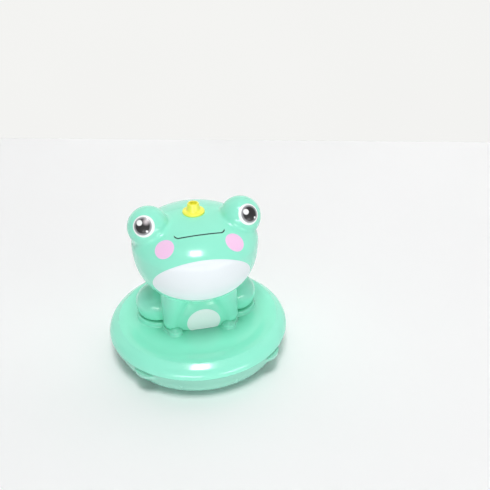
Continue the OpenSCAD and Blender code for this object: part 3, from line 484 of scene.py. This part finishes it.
def chin_mask(net, x, y, z):
    """A pale area between two bowed edges."""
    dy = net.math("SUBTRACT", float(FACE[1]), y)
    dz = net.math("SUBTRACT", z, float(FACE[2]))
    turn = net.math("DEGREES", net.math("ARCTAN2", x, dy))
    rise = net.math("DEGREES", net.math("ARCTAN2", dz, net.hypot(x, dy)))
    part_way = net.math("DIVIDE", turn, CHIN_TURN)
    width = net.math("MAXIMUM", net.math("SUBTRACT", 1.0, net.square(part_way)), 0.0)
    above = net.math("SUBTRACT", rise, CHIN_LEVEL)
    climb = net.math("MULTIPLY", net.math("POWER", width, CHIN_OVER[1]), CHIN_OVER[0])
    drop = net.math("MULTIPLY", net.math("POWER", width, CHIN_UNDER[1]), CHIN_UNDER[0])
    over = net.math("SUBTRACT", above, climb)
    under = net.math("SUBTRACT", net.math("MULTIPLY", above, -1.0), drop)
    chin = net.below(net.math("MAXIMUM", over, under), 0.0, 0.25)
    return net.math("MULTIPLY", chin, net.below(net.math("ABSOLUTE", turn), CHIN_STOP, 0.2))


def mouth_mask(net, x, y, z):
    """A fine line that turns up at its ends."""
    up = net.math("MULTIPLY", net.math("ADD", z, y), math.sqrt(0.5))
    way = net.math("ABSOLUTE", net.math("SUBTRACT", x, MOUTH_X))
    past = net.math("MAXIMUM", net.math("SUBTRACT", way, MOUTH_STRAIGHT), 0.0)
    lift = net.math("MULTIPLY", net.square(past), MOUTH_CURL)
    bow = net.math("ADD", net.math("MULTIPLY", x, MOUTH_LEAN), lift)
    slope = net.math("MULTIPLY", past, 2 * MOUTH_CURL)
    steep = net.math("SQRT", net.math("ADD", net.square(slope), 1.0))
    off = net.math("ABSOLUTE", net.math("SUBTRACT", net.math("SUBTRACT", up, MOUTH_UP), bow))
    line = net.below(net.math("DIVIDE", off, steep), MOUTH_HALF, 0.1)
    line = net.math("MULTIPLY", line, net.below(way, MOUTH_END, 0.1))
    return net.math("MULTIPLY", line, net.below(y, MOUTH_FRONT, 0.5))


def eye_print(net, base, x, y, z):
    """The colour with the eyes on it, and a mask of their discs.

    Each eye is a white disc with a dark iris, which has a grey border and two printed glints; the left eye
    also gets a painted reflection, a soft pale patch.
    """
    n = EYE_FACING / np.linalg.norm(EYE_FACING)
    u = np.cross((0, 0, 1), n)
    u /= np.linalg.norm(u)
    v = np.cross(n, u)
    q = net.fill(net.new("ShaderNodeCombineXYZ"), net.math("ABSOLUTE", x), y, z).outputs[0]
    e = net.vec("SUBTRACT", q, tuple(EYE))
    behind = net.math("MULTIPLY", net.vec("DOT_PRODUCT", e, tuple(n)), -1.0)
    ahead = net.below(behind, -EYE_FRONT, 0.2)
    out = net.vec("DOT_PRODUCT", e, tuple(u))
    height = net.vec("DOT_PRODUCT", e, tuple(v))
    across = net.math("MULTIPLY", net.math("SUBTRACT", out, IRIS_OUT), net.math("SIGN", x))

    def round_mask(along, a, b, edge, soft):
        away = net.hypot(net.math("SUBTRACT", along, a), net.math("SUBTRACT", height, b))
        return net.math("MULTIPLY", net.below(away, edge, soft), ahead)

    disc = round_mask(out, 0.0, 0.0, EYE_PRINT_R, EYE_PRINT_SOFT)
    base = net.mix(disc, base, EYE_WHITE)
    for *spot, colour in IRIS_SPOTS:
        base = net.mix(round_mask(across, *spot), base, colour)
    # Painted reflection: a soft pale patch laid on the left eye only, standing in for a light's reflection
    *spot, colour = PAINTED_REFLECTION
    left_eye_reflection = net.math("MULTIPLY", net.below(x, 0.0, 0.5), PAINTED_REFLECTION_STRENGTH)
    base = net.mix(net.math("MULTIPLY", round_mask(across, *spot), left_eye_reflection), base, colour)
    for *spot, colour in GLINTS:
        base = net.mix(round_mask(across, *spot), base, colour)
    return base, disc


def head_material():
    net = Net("head_abs")
    p = net.place_mm()
    base = moulded(net, p, MINT)
    gloss(net)
    x, y, z = net.axes(p)
    chin = chin_mask(net, x, y, z)
    base = net.mix(chin, base, WHITE)
    for cheek in CHEEKS:
        base = net.mix(net.below(net.vec("DISTANCE", p, cheek), CHEEK_R, 0.15), base, PINK)
    base = net.mix(mouth_mask(net, x, y, z), base, INK)
    base, eyes = eye_print(net, base, x, y, z)
    # The chin's and the eyes' print is less glossy than the plastic
    plastic = net.shader.inputs["Roughness"].links[0].from_socket
    duller = net.math("SUBTRACT", PRINT_ROUGHNESS, plastic)
    net.set("Roughness", net.math("MULTIPLY_ADD", net.math("MAXIMUM", chin, eyes), duller, plastic))
    net.set("Base Color", base)
    return net.mat


def body_material():
    net = Net("body_abs")
    p = net.place_mm()
    base = moulded(net, p, MINT)
    gloss(net)
    x, y, z = net.axes(p)
    a = net.math("DIVIDE", net.math("SUBTRACT", x, SPOT_AT[0]), SPOT_HALF[0])
    b = net.math("DIVIDE", net.math("SUBTRACT", z, SPOT_AT[1]), SPOT_HALF[1])
    oval = net.math("ADD", net.square(a), net.square(b))
    mark = net.math("MULTIPLY", net.below(oval, 1.0, 0.025), net.below(y, SPOT_FRONT, 0.3))
    # The belly spot is print, coloured paler than the chin's white as painted light against its shade
    net.set("Base Color", net.mix(mark, base, BELLY_WHITE_WITH_PAINTED_LIGHT))
    return net.mat


# Each slot's colour, roughness, drift of colour, bump and the scale of its grain
LOOKS = {
    "mint_abs": (MINT, SHELL_ROUGHNESS, 0.02, 0.02, 0.5),
    "hull_abs": (HULL, (0.20, 0.28), 0.02, 0.02, 0.5),
    "yellow_abs": (YELLOW, (0.28, 0.36), 0.02, 0.02, 0.5),
    "inner_plastic": (srgb(236, 233, 218), (0.42, 0.55), 0.03, 0.05, 1.5),
    "dark_plastic": (srgb(40, 41, 43), (0.40, 0.52), 0.05, 0.06, 2.0),
    "seal_rubber": (srgb(46, 47, 50), (0.62, 0.75), 0.06, 0.12, 3.0),
    "hose_silicone": (srgb(224, 228, 228), (0.35, 0.45), 0.02, 0.04, 1.0),
    "steel": (srgb(196, 198, 202), (0.22, 0.36), 0.06, 0.03, 3.0),
    "brass": (srgb(205, 172, 96), (0.25, 0.40), 0.06, 0.03, 3.0),
    "ferrite": (srgb(58, 58, 60), (0.55, 0.70), 0.08, 0.10, 3.0),
    "cell_can": (srgb(196, 160, 82), (0.30, 0.42), 0.06, 0.03, 3.0),
    "board": (srgb(22, 104, 58), (0.30, 0.42), 0.06, 0.05, 2.0),
    "lead_pvc": (srgb(196, 40, 34), (0.35, 0.48), 0.04, 0.04, 2.0),
}
GLOSSY_SLOTS = ("mint_abs", "hull_abs", "yellow_abs")
METAL_SLOTS = ("steel", "brass", "cell_can")


def slot_material(name):
    net = Net(name)
    net.set("Base Color", moulded(net, net.place_mm(), *LOOKS[name]))
    if name in GLOSSY_SLOTS:
        gloss(net)
    if name in METAL_SLOTS:
        net.set("Metallic", 1.0)
    return net.mat


MATERIALS = {name: slot_material(name) for name in LOOKS}

slots = {s["node"]: s["material_slot"] for s in frame["record"]["subparts"]}
for node_name, node_obj in frame["nodes"].items():
    node_obj.data.materials.clear()
    node_obj.data.materials.append(MATERIALS[slots[node_name]])


def dress(obj, body, node_name, material):
    obj.data.materials.append(material)
    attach(obj, body)
    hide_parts(node_name)


# Head: the front and rear shells part along a fine groove

def cut_half(verts, faces, front):
    """One side of the parting plane, with a lip that turns in along the cut."""
    sign = -1 if front else 1
    mesh = bmesh.new()
    made = [mesh.verts.new(v) for v in verts]
    for f in faces:
        mesh.faces.new([made[i] for i in f])
    bmesh.ops.bisect_plane(mesh, geom=mesh.verts[:] + mesh.edges[:] + mesh.faces[:], dist=1e-5,
                           plane_co=(0, SPLIT_Y + sign * GROOVE_HALF, 0), plane_no=(0, -sign, 0),
                           clear_outer=True)
    border = [e for e in mesh.edges if e.is_boundary]
    out = bmesh.ops.extrude_edge_only(mesh, edges=border)["geom"]
    lip = [v for v in out if isinstance(v, bmesh.types.BMVert)]
    points = np.array([v.co for v in lip])
    g = gradient(head_form, points)
    g[:, 1] = 0
    g /= np.linalg.norm(g, axis=1)[:, None]
    for v, d in zip(lip, g):
        v.co = v.co - Vector(d * GROOVE_DEPTH)
    bmesh.ops.recalc_face_normals(mesh, faces=mesh.faces[:])
    mesh.verts.index_update()
    v_out = np.array([v.co for v in mesh.verts])
    f_out = [[v.index for v in f.verts] for f in mesh.faces]
    mesh.free()
    return v_out, f_out


head_verts, head_faces = skin(head_form, (-40, -42, 43), (40, 34, 106), HEAD_CELL)
head_paint = head_material()
for half_name, is_front in (("head_front", True), ("head_rear", False)):
    half = mesh_object(half_name, *cut_half(head_verts, head_faces, is_front))
    shade_by_form(half, head_form)
    dress(half, "float", half_name + "_shell", head_paint)

# Body
body = mesh_object("body", *skin(body_form, (-39, -20, 20), (39, 22, 52), FINE_CELL))
shade_by_form(body, body_form)
dress(body, "float", "frog_body", body_material())

# Upper float: its flat underside is left open inside the rim, over the lower shell
OPEN_R = 50
OPEN_H = 0.3
verts, faces = skin(float_form, (-56, -56, 14), (56, 56, 28), FINE_CELL)
mid = np.array([verts[f].mean(0) for f in faces])
keep = ~((mid[:, 2] < SEAM_Z + OPEN_H) & (np.hypot(mid[:, 0], mid[:, 1]) < OPEN_R))
upper = mesh_object("float_top", verts, faces[keep])
shade_by_form(upper, float_form)
dress(upper, "float", "float_upper_shell", MATERIALS["mint_abs"])

# Nozzle: its profile goes up the outside, from the spigot to the tip, and down the bore
BORE_R = 1.0
SPIGOT_R = 3.0
SPIGOT_END = -9.45
SEAL_R = 2.0
SEAL_LOW = -8.15
SEAL_HIGH = -7.15
FLANGE_UNDER = -0.45
TIP = 5.45
spigot = [(BORE_R, SPIGOT_END), (2.6, SPIGOT_END)] + arc(2.6, -9.05, 0.4, -90, 0, 4)
groove = [(SPIGOT_R, SEAL_LOW), (SEAL_R, SEAL_LOW), (SEAL_R, SEAL_HIGH), (SPIGOT_R, SEAL_HIGH)]
flange = [(SPIGOT_R, FLANGE_UNDER), (5.9, FLANGE_UNDER)]
flange += arc(5.85, 0.0, 0.45, -90, 0, 5) + arc(5.75, 0.35, 0.55, 0, 80, 6)
stem = [(5.0, 1.06)] + arc(4.7, 1.98, 0.9, -84, -172, 6) + [(3.25, TIP - 0.6)]
lip = arc(2.7, TIP - 0.5, 0.5, 5, 95, 6) + arc(2.5, TIP - 0.3, 0.3, 90, 180, 4)
bore = [(2.1, TIP - 1.9), (BORE_R, TIP - 2.1), (BORE_R, SPIGOT_END)]
verts, faces = lathe(spigot + groove + flange + stem + lip + bore)
nozzle = mesh_object("spray_nozzle", verts + NOZZLE_AT, faces)
smooth(nozzle)
dress(nozzle, "nozzle", "nozzle", MATERIALS["yellow_abs"])


# Stage: a pale table top and a wall behind it

def seen_rays(tree):
    """1 where the camera looks, straight or by way of gloss or glass."""
    path = tree.nodes.new("ShaderNodeLightPath").outputs
    seen = path["Is Camera Ray"]
    for kind in ("Is Glossy Ray", "Is Transmission Ray"):
        either = tree.nodes.new("ShaderNodeMath")
        either.operation = "MAXIMUM"
        tree.links.new(seen, either.inputs[0])
        tree.links.new(path[kind], either.inputs[1])
        seen = either.outputs[0]
    return seen


def stage_material(name, colour, lit):
    net = Net(name)
    drift = net.span(net.noise(net.place_mm(), 0.004, 2.0), 0.0, 1.0)
    base = net.mix(drift, tuple(c * 0.985 for c in colour[:3]) + (1.0,), colour)
    net.set("Base Color", base)
    net.set("Roughness", 0.7)
    if lit:
        glow = net.new("ShaderNodeEmission")
        net.put(glow.inputs["Color"], base)
        both = net.new("ShaderNodeMixShader")
        net.fill(both, seen_rays(net.tree), net.shader.outputs[0], glow.outputs[0])
        net.put(net.tree.nodes["Material Output"].inputs["Surface"], both.outputs[0])
    return net.mat


FLOOR_Z = -0.05
FLOOR_FRONT = -1400.0
WALL_LEFT = (-1300.0, 681.0)
WALL_RIGHT = (1300.0, -16.0)
WALL_TOP = 1300.0
front_left = (WALL_LEFT[0], FLOOR_FRONT, FLOOR_Z)
front_right = (WALL_RIGHT[0], FLOOR_FRONT, FLOOR_Z)
back_left = (*WALL_LEFT, FLOOR_Z)
back_right = (*WALL_RIGHT, FLOOR_Z)
top_left = (*WALL_LEFT, WALL_TOP)
top_right = (*WALL_RIGHT, WALL_TOP)
table_top = mesh_object("table_top", [front_left, front_right, back_right, back_left], [(0, 1, 2, 3)])
table_top.data.materials.append(stage_material("table_paint", srgb(252, 252, 253), False))
wall = mesh_object("wall", [back_left, back_right, top_right, top_left], [(0, 1, 2, 3)])
wall.data.materials.append(stage_material("wall_paint", srgb(244, 244, 242), True))

# Camera at the photograph's angle; its place is given to the right, up and back along its own axes
CAMERA_ANGLES = (-12.13, 31.39, 0.65)
CAMERA_PLACE = (28.65, 61.48, 460.49)
FOCAL_PX = 729.02
FRAME_PX = 490
SENSOR = 36
az, el, roll = (math.radians(v) for v in CAMERA_ANGLES)
back = Vector((math.sin(az) * math.cos(el), -math.cos(az) * math.cos(el), math.sin(el)))
right0 = Vector((math.cos(az), math.sin(az), 0))
up0 = back.cross(right0)
right = right0 * math.cos(roll) - up0 * math.sin(roll)
up = right0 * math.sin(roll) + up0 * math.cos(roll)
camera = bpy.data.objects.new("camera", bpy.data.cameras.new("camera"))
bpy.context.collection.objects.link(camera)
place = (right * CAMERA_PLACE[0] + up * CAMERA_PLACE[1] + back * CAMERA_PLACE[2]) * MM
camera.matrix_world = Matrix(((right.x, up.x, back.x, place.x), (right.y, up.y, back.y, place.y),
                              (right.z, up.z, back.z, place.z), (0, 0, 0, 1)))
camera.data.sensor_width = SENSOR
camera.data.lens = FOCAL_PX * SENSOR / FRAME_PX
camera.data.clip_start = 0.01
bpy.context.scene.camera = camera

# Light: a softbox above and a little ahead, two low fills from the front and a pale surround
AIM_M = Vector((0, 0, 0.06))
LAMP_DISTANCE_M = 2.0
SURROUND_LIGHT = 0.10
SURROUND_SEEN = 0.55


def area(name, turn, rise, size_m, power):
    turn, rise = math.radians(turn), math.radians(rise)
    toward = Vector((math.sin(turn) * math.cos(rise), -math.cos(turn) * math.cos(rise), math.sin(rise)))
    lamp = bpy.data.lights.new(name, "AREA")
    lamp.shape = "RECTANGLE"
    lamp.size, lamp.size_y = size_m
    lamp.energy = power
    obj = bpy.data.objects.new(name, lamp)
    bpy.context.collection.objects.link(obj)
    obj.location = AIM_M + toward * LAMP_DISTANCE_M
    obj.rotation_euler = toward.to_track_quat("Z", "Y").to_euler()
    return obj


area("key", -8, 71, (0.52, 0.56), 20.0)
area("fill_left", -22, 5, (1.1, 0.28), 8.8)
area("fill_right", 30, 4, (1.1, 0.28), 7.6)
surround = area("surround", 0, 88, (2.0, 2.0), 5.6)
surround.visible_glossy = False
world = bpy.data.worlds.new("world")
bpy.context.scene.world = world
world.use_nodes = True
sky = world.node_tree
level = sky.nodes.new("ShaderNodeMapRange")
sky.links.new(seen_rays(sky), level.inputs["Value"])
level.inputs["To Min"].default_value = SURROUND_LIGHT
level.inputs["To Max"].default_value = SURROUND_SEEN
sky.nodes["Background"].inputs["Color"].default_value = (1, 1, 1, 1)
sky.links.new(level.outputs[0], sky.nodes["Background"].inputs["Strength"])

bpy.context.scene.view_settings.view_transform = "Standard"

bpy.context.view_layer.update()
